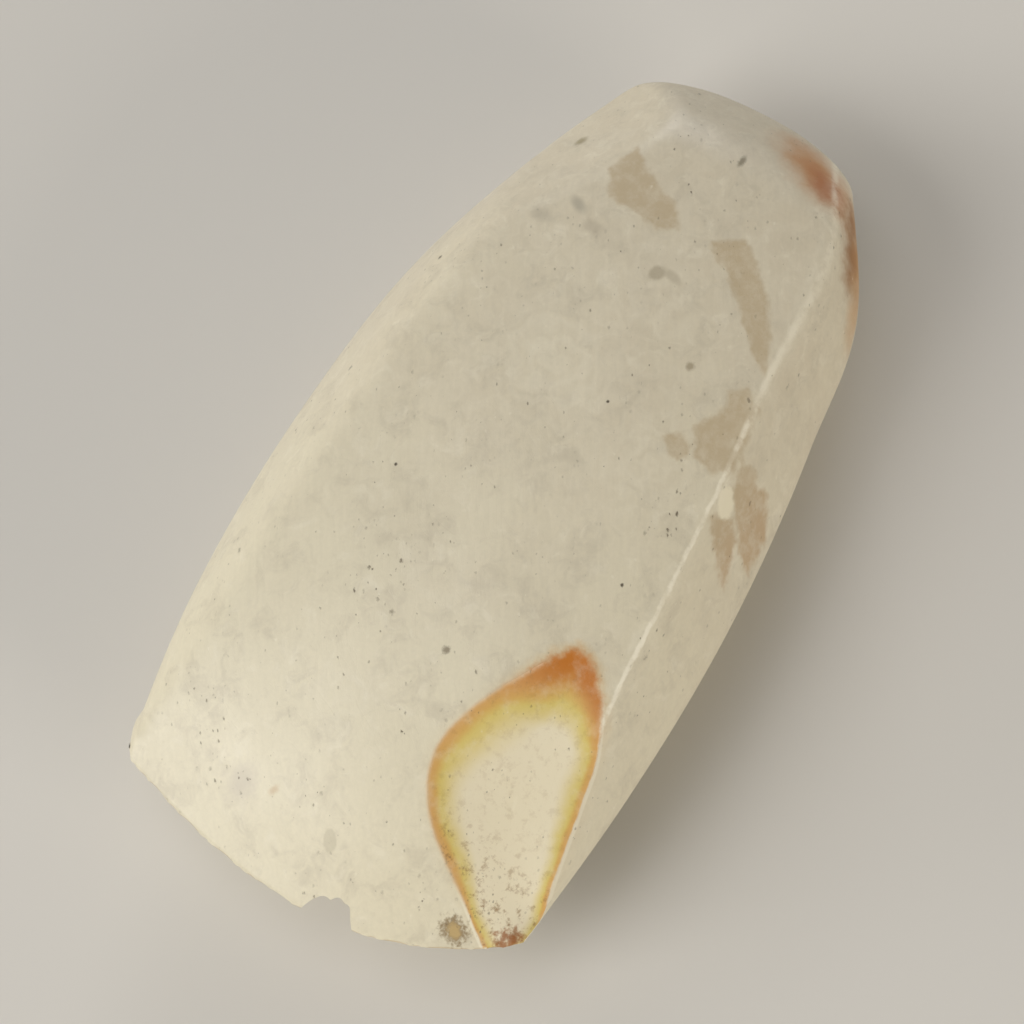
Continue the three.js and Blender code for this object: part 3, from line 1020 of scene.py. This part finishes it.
class Patterns:
    """The patterns that the finish uses, each a node group that puts out a mask."""

    def __init__(self) -> None:
        """Builds every group once."""
        self.specks = self.make_specks()
        self.scratches = self.make_scratches()
        self.stain = self.make_stain()
        self.rings = self.make_rings()

    def make_specks(self) -> bpy.types.NodeTree:
        """Scattered small dots of uneven size: Spacing apart, Share of places filled."""
        hand, given = new_group("specks", {"Spacing": 2, "Radius": 0.2, "Share": 0.3, "Seed": 0})
        spacing, radius = given("Spacing"), given("Radius")
        place = hand.vector("ADD", given("Place"), given("Seed"))
        wobble = hand.noise(place, radius * 1.1, 3, 0.7) - 0.5
        cell = hand.add("ShaderNodeTexVoronoi", {"Vector": place, "Scale": 1 / spacing, "Randomness": 1.0})
        chance, bulk, _ = hand.parts(cell.outputs["Color"])
        away = hand.value(cell.outputs["Distance"]) * spacing + wobble * radius * 2.6
        size = radius * (hand.math("POWER", bulk, 2.5) * 1.1 + 0.25)
        dot = 1 - hand.ease(away, size * 0.2, size)
        hand.add("NodeGroupOutput", {0: dot * hand.math("LESS_THAN", chance, given("Share"))})
        return hand.tree

    def make_scratches(self) -> bpy.types.NodeTree:
        """Fine broken lines that run along the pattern's own X."""
        hand, given = new_group("scratches", {"Spacing": 4, "Width": 0.02, "Share": 0.4})
        along = hand.vector("MULTIPLY", given("Place"), (0.12, 1, 1))
        gap = abs(hand.noise(along, given("Spacing"), 1, 0.3) - 0.5)
        there = hand.noise(hand.vector("MULTIPLY", given("Place"), (0.5, 1, 1)), 5, 3, 0.6)
        broken = hand.ease(there, 0.9 - given("Share"), 1 - given("Share"))
        hand.add("NodeGroupOutput", {0: (1 - hand.ease(gap, 0.0, given("Width"))) * broken})
        return hand.tree

    def make_stain(self) -> bpy.types.NodeTree:
        """A ragged spot about a centre: full inside, gone past its radii."""
        numbers = {"Turn": 0, "Soft": 0.3, "Ragged": 0.3, "Grain": 1.5}
        hand, given = new_group("stain", numbers, Centre=(0, 0, 0), Radii=(1, 1, 1))
        away = hand.vector("SUBTRACT", given("Place"), given("Centre"))
        feeds = {"Vector": away, "Angle": given("Turn")}
        turned = hand.add("ShaderNodeVectorRotate", feeds, rotation_type="Z_AXIS").outputs[0]
        reach = hand.length(hand.vector("DIVIDE", turned, given("Radii")))
        reach += (hand.noise(given("Place"), given("Grain"), 3, 0.6) - 0.5) * given("Ragged")
        hand.add("NodeGroupOutput", {0: 1 - hand.ease(reach, 1 - given("Soft"), 1.0)})
        return hand.tree

    def make_rings(self) -> bpy.types.NodeTree:
        """Wavy rings about a centre, like the growth lines of a shell, fading outwards."""
        numbers = {"Reach": 10, "Spacing": 1.5, "Wander": 2.0}
        hand, given = new_group("rings", numbers, Centre=(0, 0, 0))
        reach = hand.length(hand.vector("SUBTRACT", given("Place"), given("Centre")))
        reach += (hand.noise(given("Place"), 4, 2, 0.6) - 0.5) * given("Wander")
        wave = hand.math("SINE", reach * (2 * math.pi) / given("Spacing")) * 0.5 + 0.5
        fade = 1 - hand.ease(reach, given("Reach") * 0.4, given("Reach"))
        hand.add("NodeGroupOutput", {0: wave * fade})
        return hand.tree


@dataclass(frozen=True)
class Stain:
    """One ragged spot on the stone, in millimetres on its own axes."""

    centre: Triple
    radii: Triple
    colour: Colour
    strength: float = 0.8
    turn: float = 0
    soft: float = 0.5
    ragged: float = 0.5
    grain: float = 2.0


@dataclass(frozen=True)
class Fossil:
    """A ringed shell that shows in the flint, in millimetres."""

    centre: Triple
    reach: float
    spacing: float
    strength: float


@dataclass(frozen=True)
class Specks:
    """How one kind of speck is strewn, in millimetres, and the share of places it fills."""

    spacing: float
    radius: float
    share: float
    seed: float


@dataclass(frozen=True)
class Scratches:
    """How one set of grinding scratches runs: millimetres, and radians from the grinding."""

    spacing: float
    width: float
    share: float
    turn: float = 0


@dataclass(frozen=True)
class PatinaFinish:
    """The cream patina of weathered flint, with its stains."""

    edge_cream: Colour = srgb(221, 213, 188)
    butt_cream: Colour = srgb(211, 201, 178)
    grey_cloud: Colour = srgb(194, 185, 164)
    light_cloud: Colour = srgb(231, 224, 203)
    speck: Colour = srgb(78, 66, 46)
    pale_speck: Colour = srgb(240, 234, 216)
    patch: Colour = srgb(186, 168, 136)
    patch_pink: Colour = srgb(186, 158, 122)
    # pale worn stone along the right ridge, with a painted highlight
    arris_wear_and_highlight: Colour = srgb(248, 242, 222)
    rust: Colour = srgb(192, 118, 44)
    light_orange: Colour = srgb(212, 166, 104)
    amber: Colour = srgb(210, 168, 94)
    straw: Colour = srgb(214, 194, 112)
    window_cream: Colour = srgb(230, 220, 192)
    window_pale: Colour = srgb(234, 226, 200)
    window_smudge: Colour = srgb(142, 108, 66)
    chip: Colour = srgb(196, 170, 130)
    roughness: float = 0.4
    patch_roughness: float = 0.6
    chip_roughness: float = 0.15  # added to what lies round a chip
    cloud_roughness: float = 0.12
    grinding_turn: float = 0.5  # radians from X: the way the stone was ground
    grain_height: float = 0.012
    patch_height: float = 0.03
    scratch_depth: float = 0.005
    pit_depth: float = 0.04
    few_specks: Specks = Specks(2.3, 0.32, 0.3, 3)
    fine_specks: Specks = Specks(0.8, 0.17, 0.4, 11)
    crowded_specks: Specks = Specks(0.6, 0.24, 0.5, 23)
    pale_specks: Specks = Specks(1.5, 0.2, 0.35, 41)
    scratches: Scratches = Scratches(0.9, 0.03, 0.5)
    crossing_scratches: Scratches = Scratches(1.7, 0.015, 0.42, turn=0.5)
    fossils: tuple[Fossil, ...] = (
        Fossil((-13, -3, 16.6), 11.0, 2.6, 0.24),
        Fossil((-6, 14, 15.2), 8.0, 2.2, 0.2),
        Fossil((38.6, -5.7, 12), 6.0, 2.6, 0.16),
        Fossil((19.2, -1.4, 15.4), 7.0, 2.6, 0.16),
        Fossil((-27, 4, 15.2), 8.0, 2.4, 0.18),
    )
    crowds: tuple[tuple[Triple, Triple], ...] = (
        ((53, -13, 4), (3.5, 6.5, 8)),
        ((54.5, 15, 2), (4.5, 3.2, 6)),
        ((22, -8, 15), (7, 5, 6)),
        ((-2, 20, 14), (6, 4, 6)),
        ((56.6, 20.6, 1.3), (2.6, 2.6, 4)),
        ((55, 24.5, 1), (4, 3, 4)),
        ((38, 15.5, 8), (3.4, 2.2, 6)),
        ((51.5, 22.5, 4), (7, 5, 8)),
    )
    stains: tuple[Stain, ...] = (
        Stain((-56.2, 12.2, 6.4), (11.5, 6, 9), srgb(190, 134, 78), 0.95, -0.94, 0.9, 0.5, 3),
        Stain((-54.2, 15, 6.6), (6.4, 3.4, 8), srgb(170, 98, 50), 0.8, -0.94, 0.9, 0.6, 2),
        Stain((-49.6, 21, 4), (9.8, 3.0, 6.5), srgb(146, 94, 28), 0.95, -0.47, 0.8, 1.0, 4),
        Stain((-46, 23.4, 2), (13, 2.6, 4), srgb(194, 142, 76), 0.6, -0.47, 0.8, 0.5, 3),
        Stain((56.6, 20.6, 1.3), (2.3, 2.5, 3), srgb(122, 96, 56), 0.8, 0.4, 0.6, 1.6, 0.6),
        Stain((56.7, 20.6, 1.3), (1.2, 1.4, 3), srgb(196, 170, 118), 0.8, 0.4, 0.6, 1.0, 0.6),
        Stain((54.6, 27.6, 0.8), (3.4, 2.6, 3), srgb(152, 92, 44), 0.85, 0.9, 0.8, 2.4, 0.8),
        Stain((27.5, 29.4, 2.5), (0.9, 0.7, 1.5), srgb(176, 118, 62), 0.6, 0, 0.8, 1.4, 0.5),
        Stain((-8.0, 25.0, 11.4), (2.7, 1.5, 2.6), srgb(240, 232, 206), 0.75, -0.5, 0.35, 0.5, 0.8),
        Stain((-30.6, 2.4, 15.3), (1.5, 1.3, 3), srgb(164, 153, 130), 0.6, 0.3, 0.5, 0.4, 1.5),
        Stain((-31.2, 4.4, 15.2), (1.0, 2.4, 3), srgb(172, 162, 140), 0.45, 0.3, 0.7, 0.4, 1.5),
        Stain((-21.2, 12.6, 15.3), (1.0, 0.8, 2), srgb(150, 136, 110), 0.7, 0.2, 0.7, 0.8, 0.6),
        Stain((-34.8, -11.8, 14.2), (1.2, 2.4, 3), srgb(160, 154, 138), 0.6, 0.5, 0.8, 0.4, 1.5),
        Stain((-32.6, -8.4, 14.8), (1.4, 2.2, 3), srgb(168, 156, 136), 0.45, 0.2, 0.8, 0.4, 1.5),
        Stain((-31.1, -15.4, 13.5), (1.6, 2.2, 3), srgb(168, 160, 142), 0.4, 0.2, 0.8, 0.4, 1.5),
        Stain((-51.5, 3.8, 11.6), (1.5, 0.6, 2), srgb(122, 112, 88), 0.8, 0, 0.7, 0.8, 0.6),
        Stain((-45.8, -17.9, 6.5), (1.6, 0.9, 2), srgb(150, 138, 104), 0.8, 0.2, 0.8, 0.6, 0.8),
        Stain((27.8, 3.9, 15.2), (0.9, 0.7, 2), srgb(126, 114, 92), 0.8, 0.5, 0.8, 1.2, 0.4),
        Stain((54.9, 1.5, 5.7), (1.7, 1.0, 3), srgb(196, 188, 164), 0.7, -0.5, 0.3, 0.3, 1.0),
        Stain((53.6, -12.6, 5), (3.6, 3.4, 8), srgb(196, 187, 172), 0.6, 0, 0.9, 0.8, 2.0),
        Stain((52.7, -8.1, 6.5), (1.2, 0.8, 2), srgb(196, 170, 132), 0.6, 0.5, 0.9, 0.8, 0.8),
        Stain((9, -14.4, 15.6), (0.32, 0.3, 1), srgb(60, 50, 38), 0.9, 0, 0.7, 0.8, 0.3),
        Stain((-11.4, 5.8, 16.6), (0.32, 0.3, 1), srgb(60, 50, 38), 0.9, 0, 0.7, 0.8, 0.3),
        Stain((9.2, 19.3, 14.7), (0.4, 0.3, 1), srgb(70, 58, 44), 0.9, 0, 0.7, 1.0, 0.3),
    )

    def material(self, patterns: Patterns) -> bpy.types.Material:
        """Builds the stone's material.

        Args:
            patterns: The node groups that it uses.

        Returns:
            The finished material.
        """
        made, hand, here = new_material(SLOT)
        place = hand.vector("SUBTRACT", here, stone_middle())
        clouds = hand.ease(hand.noise(place, 14, 4, 0.55), 0.25, 0.75)
        grain = hand.noise(place, 0.5, 3, 0.6)
        colour = self.ground(hand, patterns, place, clouds, grain)
        colour, patch = self.patches(hand, place, colour)
        colour, window = self.window(hand, place, colour)
        colour = self.stained(hand, patterns, place, colour)
        # the right ridge line: worn paler stone with a painted highlight
        colour = self.arris_wear_and_highlight_line(hand, place, colour, window)
        colour, pits = self.specked(hand, patterns, place, colour, window)
        chip = hand.mark("chip")
        colour = hand.mix(chip * 0.45, colour, self.chip)
        rough = clouds * self.cloud_roughness + (self.roughness - self.cloud_roughness / 2)
        rough += patch * (self.patch_roughness - self.roughness)
        rough = hand.math("ADD", rough, chip * self.chip_roughness, clamp=True)
        hand.surface(colour, rough, self.relief(hand, patterns, place, patch, grain, pits), 1.0, MM)
        return made

    def ground(self, hand: Shading, patterns: Patterns, place: Socket, clouds: Value, grain: Value) -> Socket:
        """The colour of the ground skin: creamier towards the edge, greyer to the butt."""
        along = hand.parts(place)[0] + (clouds - 0.5) * 30
        colour = hand.mix(hand.ease(along, -50.0, 50.0), self.butt_cream, self.edge_cream)
        twisted = hand.vector("ADD", place, hand.vector("SCALE", hand.noise_vector(place, 3.5), 5.0))
        blotch = hand.ease(hand.noise(twisted, 5, 5, 0.66), 0.46, 0.7)
        colour = hand.mix(blotch * 0.5, colour, self.grey_cloud)
        pale = hand.ease(hand.noise(hand.vector("ADD", twisted, (31, 7, 5)), 3, 5, 0.65), 0.52, 0.72)
        colour = hand.mix(pale * 0.4, colour, self.light_cloud)
        vein = 1 - hand.ease(abs(hand.noise(twisted, 4.5, 2, 0.5) - 0.5), 0.0, 0.11)
        colour = hand.mix(vein * hand.ease(along, 40.0, -20.0) * 0.14, colour, self.light_cloud)
        for fossil in self.fossils:
            ring = hand.use(
                patterns.rings, Place=twisted, Centre=fossil.centre,
                Reach=fossil.reach, Spacing=fossil.spacing,
            )  # fmt: skip
            colour = hand.mix(ring * fossil.strength, colour, self.light_cloud)
        drawn = hand.placed(place, (0.12, 1, 1), -self.grinding_turn)
        streak = hand.ease(hand.noise(drawn, 0.7, 3, 0.6), 0.35, 0.7)
        shade = streak * 0.03 + grain * 0.1 + 0.925
        tint = hand.add("ShaderNodeCombineColor", {0: shade, 1: shade, 2: shade}).outputs[0]
        return hand.mix(1.0, colour, tint, "MULTIPLY")

    def patches(self, hand: Shading, place: Socket, colour: Socket) -> tuple[Socket, Value]:
        """The older, duller skin left in the flake scars that grinding never reached."""
        wander = hand.noise(place, 1.4, 2, 0.5) - 0.5
        mask = hand.ease(hand.mark("patch_depth") + wander * 1.6, -0.45, 0.5)
        pink = hand.ease(hand.parts(place)[1], 23.5, 30.0)
        skin = hand.mix(pink, self.patch, self.patch_pink)
        mottle = hand.ease(hand.noise(place, 2.2, 5, 0.68), 0.38, 0.72)
        skin = hand.mix(mottle * 0.55, skin, self.butt_cream)
        return hand.mix(mask * 0.82, colour, skin), mask

    def window(self, hand: Shading, place: Socket, colour: Socket) -> tuple[Socket, Value]:
        """The long spall by the corner: orange at its rim, then amber, straw and cream."""
        depth = hand.mark("window_depth")
        x, y, _ = hand.parts(place)
        fine = hand.noise(place, 1.6, 4, 0.65) - 0.5
        broad = hand.noise(place, 6, 2, 0.5) - 0.5
        top = 1 - hand.ease(x, 21.0, 31.0)
        right = hand.ease(y, 17.5, 22.5) * hand.ease(x, 20.0, 27.0)
        low = hand.ease(x, 34.0, 46.0)
        reach = (top * 5.6 + 1.7) * (1 - right * 0.5) * (1 - low * 0.4)
        share = (depth + fine * (top * 1.2 + 0.5) + broad * 1.4) / reach
        rim = hand.mix(top, self.light_orange, self.rust)
        inner = hand.mix(hand.ease(share, top * 0.25, 0.95), rim, self.amber)
        inner = hand.mix(hand.ease(share, 0.6, 1.5), inner, self.straw)
        inner = hand.mix(hand.ease(share, 1.0, 4.4 - top * 0.6), inner, self.window_cream)
        cloud = hand.ease(hand.noise(place, 2.4, 4, 0.62), 0.45, 0.75)
        inner = hand.mix(cloud * 0.25, inner, self.window_pale)
        smudge = hand.ease(hand.noise(hand.vector("ADD", place, (3, 17, 9)), 1.3, 5, 0.72), 0.5, 0.66)
        smudge *= hand.ease(x, 42.0, 53.0) * 0.65 + 0.15
        inner = hand.mix(smudge, inner, self.window_smudge)
        soft = top * 0.45 + (0.45 - right * 0.3)
        edge = depth + fine * (top * 1.9 + 0.35)
        mask = hand.ease(edge, soft * -1, soft)
        halo = hand.ease(edge, -1.7, 0.0) * (top * 0.35 + 0.06)
        colour = hand.mix(halo, colour, self.amber)
        # a pale line just outside the window's right rim, along the side ridge: worn stone with a painted
        # highlight
        lip = hand.ease(depth, -0.5, -0.3) * right * 0.4
        colour = hand.mix(lip, colour, self.arris_wear_and_highlight)
        return hand.mix(mask, colour, inner), mask

    def stained(self, hand: Shading, patterns: Patterns, place: Socket, colour: Socket) -> Socket:
        """Every named stain, laid on in turn."""
        for stain in self.stains:
            mask = hand.use(
                patterns.stain, Place=place, Centre=stain.centre, Radii=stain.radii, Turn=stain.turn,
                Soft=stain.soft, Ragged=stain.ragged, Grain=stain.grain,
            )  # fmt: skip
            colour = hand.mix(mask * stain.strength, colour, stain.colour)
        return colour

    def arris_wear_and_highlight_line(self, hand: Shading, place: Socket, colour: Socket, window: Value) -> Socket:
        """The pale line along the right ridge: partly worn paler stone, partly a painted highlight."""
        wander = hand.noise(place, 2.2, 4, 0.65) - 0.5
        off = abs(hand.mark("arris_right") + wander * 0.5)
        width = 1 - hand.ease(hand.parts(place)[0], -45.0, -5.0)
        core = 1 - hand.ease(off, 0.06, width * 0.5 + 0.28)
        glow = 1 - hand.ease(off, 0.2, width + 1.1)
        there = hand.ease(hand.noise(place, 4, 4, 0.65), 0.36, 0.6) * 0.75 + 0.25
        line = core * (0.75 - width * 0.35) + glow * 0.13
        return hand.mix(line * there * (1 - window), colour, self.arris_wear_and_highlight)

    def strewn(self, hand: Shading, patterns: Patterns, place: Socket, kind: Specks) -> Value:
        """One kind of speck over the whole stone."""
        return hand.use(
            patterns.specks, Place=place, Spacing=kind.spacing,
            Radius=kind.radius, Share=kind.share, Seed=kind.seed,
        )  # fmt: skip

    def specked(
        self, hand: Shading, patterns: Patterns, place: Socket, colour: Socket, window: Value
    ) -> tuple[Socket, Value]:
        """Dark specks and pits drawn out along the grinding, in crowds here and there."""
        drawn = hand.placed(place, (0.62, 1, 1), -self.grinding_turn)
        few, fine, many, pale = (
            self.strewn(hand, patterns, drawn, kind)
            for kind in (self.few_specks, self.fine_specks, self.crowded_specks, self.pale_specks)
        )
        near = hand.ease(hand.mark("from_edge"), 30.0, 6.0)
        crowd = hand.ease(hand.noise(place, 5, 4, 0.65), 0.5, 0.75) * (near * 0.5 + 0.4)
        for centre, radii in self.crowds:
            here = hand.use(patterns.stain, Place=place, Centre=centre, Radii=radii, Soft=0.8, Ragged=0.7)
            crowd = hand.math("MAXIMUM", crowd, here)
        crowd *= 1 - window * 0.3
        some = hand.ease(hand.noise(place, 8, 3, 0.6), 0.35, 0.65) * 0.7 + 0.3
        dark = hand.math("MAXIMUM", few * 0.85, fine * 0.65) * some
        dark = hand.math("MAXIMUM", dark, many * crowd * 0.85)
        colour = hand.mix(pale * 0.3, colour, self.pale_speck)
        return hand.mix(dark, colour, self.speck), dark

    def scratched(self, hand: Shading, patterns: Patterns, place: Socket, kind: Scratches) -> Value:
        """One set of grinding scratches over the whole stone."""
        ground = hand.placed(place, turn=-self.grinding_turn - kind.turn)
        return hand.use(
            patterns.scratches, Place=ground, Spacing=kind.spacing, Width=kind.width, Share=kind.share
        )

    def relief(
        self, hand: Shading, patterns: Patterns, place: Socket, patch: Value, grain: Value, pits: Value
    ) -> Value:
        """The height of the finest relief, in millimetres."""
        coarse = hand.noise(place, 0.8, 4, 0.65) * patch
        kinds = (self.scratches, self.crossing_scratches)
        sets = (self.scratched(hand, patterns, place, kind) for kind in kinds)
        height = (grain - 0.5) * self.grain_height + coarse * self.patch_height
        return height - hand.math("MAXIMUM", *sets) * self.scratch_depth - pits * self.pit_depth


# ---- The studio ----


@dataclass(frozen=True)
class Lamp:
    """A soft square light that looks at the stone."""

    name: str
    towards: Triple
    distance: float
    size: float
    power: float
    colour: Triple = (1, 1, 1)


@dataclass
class Studio:
    """A plain pale floor, soft lights and the camera."""

    distance: float = 0.6
    elevation: float = 70
    azimuth: float = 37
    roll: float = -8
    lens: float = 158.66
    sensor: float = 36
    shift: Point = (-0.0195, -0.0146)
    floor_size: float = 6
    floor_colour: Colour = srgb(214, 211, 205)
    floor_roughness: float = 0.9
    sky: float = 0.12
    lamps: tuple[Lamp, ...] = (
        Lamp("key", (0.62, -0.44, 0.64), 1.8, 1.0, 16.2, (1.0, 0.98, 0.94)),
        Lamp("right", (0.2, 0.94, 0.25), 2.4, 1.0, 29.0, (1.0, 0.93, 0.82)),
        Lamp("left", (0.56, -0.8, 0.25), 2.4, 1.0, 17.0, (1.0, 0.98, 0.95)),
        Lamp("behind", (-0.88, -0.4, 0.25), 2.4, 1.0, 18.0, (1.0, 0.98, 0.96)),
        Lamp("above", (0.1, -0.2, 1), 1.8, 1.0, 5.4, (1.0, 0.98, 0.96)),
    )

    def build(self) -> None:
        """Makes the floor, the lights and the camera."""
        self.floor()
        self.light()
        self.camera()
        bpy.context.scene.view_settings.view_transform = "Standard"

    def middle(self) -> Vector:
        """The point that the camera and the lights are set out from, in metres."""
        return Vector(stone_middle()) * MM

    def floor(self) -> None:
        """Lays the floor under the stone."""
        half = self.floor_size / 2
        data = bpy.data.meshes.new("floor")
        corners = [(-half, -half, 0), (half, -half, 0), (half, half, 0), (-half, half, 0)]
        data.from_pydata(corners, [], [(0, 1, 2, 3)])
        floor = linked("floor", data)
        finish, hand, place = new_material("floor_card")
        tooth = hand.noise(place, 0.8, 2, 0.5)
        hand.surface(self.floor_colour, self.floor_roughness, tooth, 0.2, 0.02 * MM)
        data.materials.append(finish)

    def light(self) -> None:
        """Sets the soft lights and the even light of the room."""
        for lamp in self.lamps:
            data = bpy.data.lights.new(lamp.name, "AREA")
            data.size, data.energy, data.color = lamp.size, lamp.power, lamp.colour
            made = linked(lamp.name, data)
            towards = Vector(lamp.towards).normalized()
            made.location = self.middle() + towards * lamp.distance
            made.rotation_euler = towards.to_track_quat("Z", "Y").to_euler()
        world = bpy.data.worlds.new("room")
        world.use_nodes = True
        sky = world.node_tree.nodes["Background"]
        sky.inputs["Color"].default_value = (1, 0.99, 0.97, 1)
        sky.inputs["Strength"].default_value = self.sky
        bpy.context.scene.world = world

    def camera(self) -> None:
        """Sets the camera, which looks steeply down along the stone from its edge."""
        lift, round_about, roll = (math.radians(a) for a in (self.elevation, self.azimuth, self.roll))
        back = Vector(
            (math.cos(round_about) * math.cos(lift), math.sin(round_about) * math.cos(lift), math.sin(lift))
        )
        right = Vector((0, 0, 1)).cross(back).normalized()
        up = back.cross(right)
        across = math.cos(roll) * right + math.sin(roll) * up
        above = math.cos(roll) * up - math.sin(roll) * right
        data = bpy.data.cameras.new("camera")
        data.lens, data.sensor_width = self.lens, self.sensor
        data.shift_x, data.shift_y = self.shift
        data.clip_start = 0.01
        made = linked("camera", data)
        made.matrix_world = Matrix.Translation(self.middle() + back * self.distance) @ Matrix(
            (across, above, back)
        ).transposed().to_4x4()
        bpy.context.scene.camera = made


def main() -> None:
    """Builds the studio and the stone."""
    logging.basicConfig(level=logging.INFO, format="%(name)s: %(message)s")
    Studio().build()
    stone = AxeHead().build()
    stone.data.materials.clear()
    stone.data.materials.append(PatinaFinish().material(Patterns()))
    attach(stone, "root")
    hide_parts(NODE)
    triangles = sum(len(face.vertices) - 2 for face in stone.data.polygons)
    LOG.info("%s: %d vertices, %d triangles", stone.name, len(stone.data.vertices), triangles)


if __name__ == "__main__":
    main()
